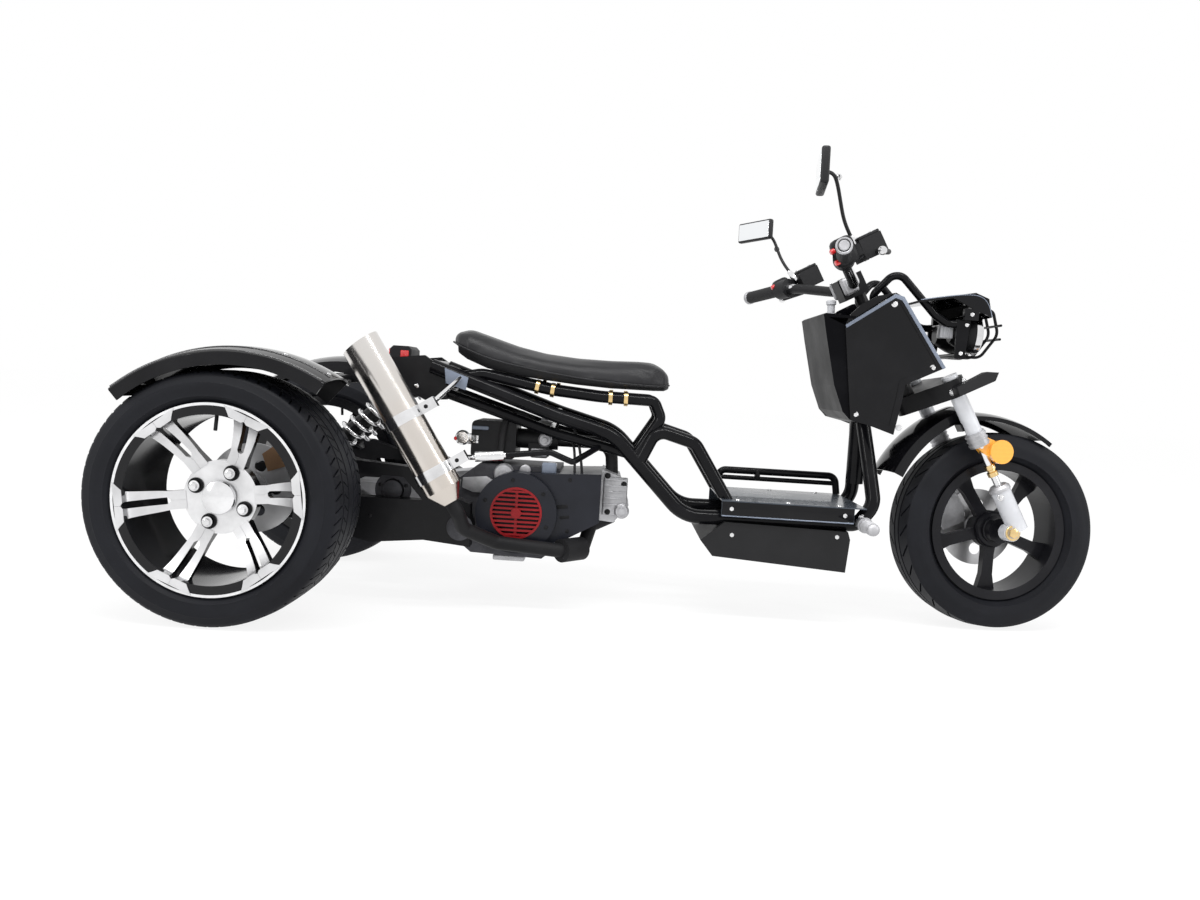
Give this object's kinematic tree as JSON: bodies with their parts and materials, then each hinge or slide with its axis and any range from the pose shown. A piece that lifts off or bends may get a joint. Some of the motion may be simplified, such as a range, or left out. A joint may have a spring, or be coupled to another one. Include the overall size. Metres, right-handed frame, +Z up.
{
  "type": "motor trike",
  "caption": "Low motor trike with one steered front wheel, a live rear axle with wide tyres, a twin-tube frame, a step deck and a saddle seat.",
  "frame": {"origin": "bottom centre of the trike's bounding box, on the floor", "axes": "+X forward, +Y to the rider's left, +Z up"},
  "size_m": [2.2263, 0.966, 1.047],
  "materials": {
    "frame_black": "gloss black powder coat with light wear",
    "satin_black": "satin black paint",
    "deck_blue": "glossy grey-blue painted sheet",
    "rim_black": "gloss black cast alloy with bright machined edges",
    "tyre": "black rubber",
    "steel": "machined steel",
    "chrome": "bright chrome",
    "silver": "cast and machined light alloy",
    "cast": "dark grey cast metal",
    "black_plastic": "grained black plastic",
    "gloss_panel": "gloss black panel",
    "red_grille": "red moulded grille",
    "seat_cover": "black grained vinyl cover",
    "grip_rubber": "black rubber",
    "lens_red": "red lens",
    "lens_amber": "amber lens",
    "lens_clear": "clear lamp glass",
    "mirror_glass": "black housing with mirror glass",
    "header_black": "matt black heat paint",
    "muffler_steel": "polished stainless steel with a brown cast"
  },
  "bodies": {
    "chassis": {"main_tubes": "frame_black", "head_frame": "frame_black", "seat_rails": "frame_black", "cradle_tubes": "frame_black", "deck_hoops": "frame_black", "deck": "deck_blue", "underdeck_box": "black_plastic", "step_rail": "frame_black", "foot_pegs": "silver", "rear_brackets": "satin_black", "tail_lamp": "lens_red", "rear_fenders": "gloss_panel", "axle_carrier": "satin_black", "rear_caliper": "silver", "rear_shocks": "chrome", "crankcase": "cast", "gearbox": "silver", "cvt_case": "silver", "fan_shroud": "satin_black", "fan_grille": "red_grille", "cylinder_head": "silver", "intake": "black_plastic", "exhaust_header": "header_black", "muffler": "muffler_steel", "muffler_bands": "steel", "seat": "seat_cover", "seat_clamps": "steel", "legshield_back": "gloss_panel", "legshield_front": "gloss_panel", "legshield_sides": "gloss_panel", "guard_tubes": "frame_black", "headlamps": "lens_clear", "headlamp_visor": "gloss_panel", "lamp_guard": "frame_black", "drive_chain": "steel"},
    "steering": {"fork_crown": "satin_black", "fork_upper_tubes": "chrome", "fork_collars": "silver", "fork_rods": "chrome", "fork_sliders": "silver", "front_axle": "steel", "front_caliper": "silver", "front_fender": "gloss_panel", "handlebar": "chrome", "grips": "grip_rubber", "brake_controls": "black_plastic", "mirror_left": "mirror_glass", "mirror_right": "mirror_glass", "winkers": "lens_amber", "reflectors": "lens_amber"},
    "front_wheel": {"front_rim": "rim_black", "front_tyre": "tyre", "front_brake_disc": "steel"},
    "rear_axle": {"rear_axle_shaft": "steel", "rear_rims": "rim_black", "rear_tyres": "tyre", "rear_brake_disc": "steel", "rear_sprocket": "steel"}
  },
  "joints": [
    {"name": "steering_hinge", "type": "hinge", "parent": "chassis", "child": "steering", "pos_m": [0.62966, 0, 0.57147], "axis": [-0.4802, 0, 0.8771], "range_deg": [-44, 28]},
    {"name": "front_wheel_spin", "type": "hinge", "parent": "steering", "child": "front_wheel", "pos_m": [0.87434, 0.00763, 0.23757], "axis": [-0.1221, 0.9903, -0.0668], "continuous": true},
    {"name": "rear_axle_spin", "type": "hinge", "parent": "chassis", "child": "rear_axle", "pos_m": [-0.85319, 0, 0.26], "axis": [0, 1, 0], "continuous": true}
  ]
}
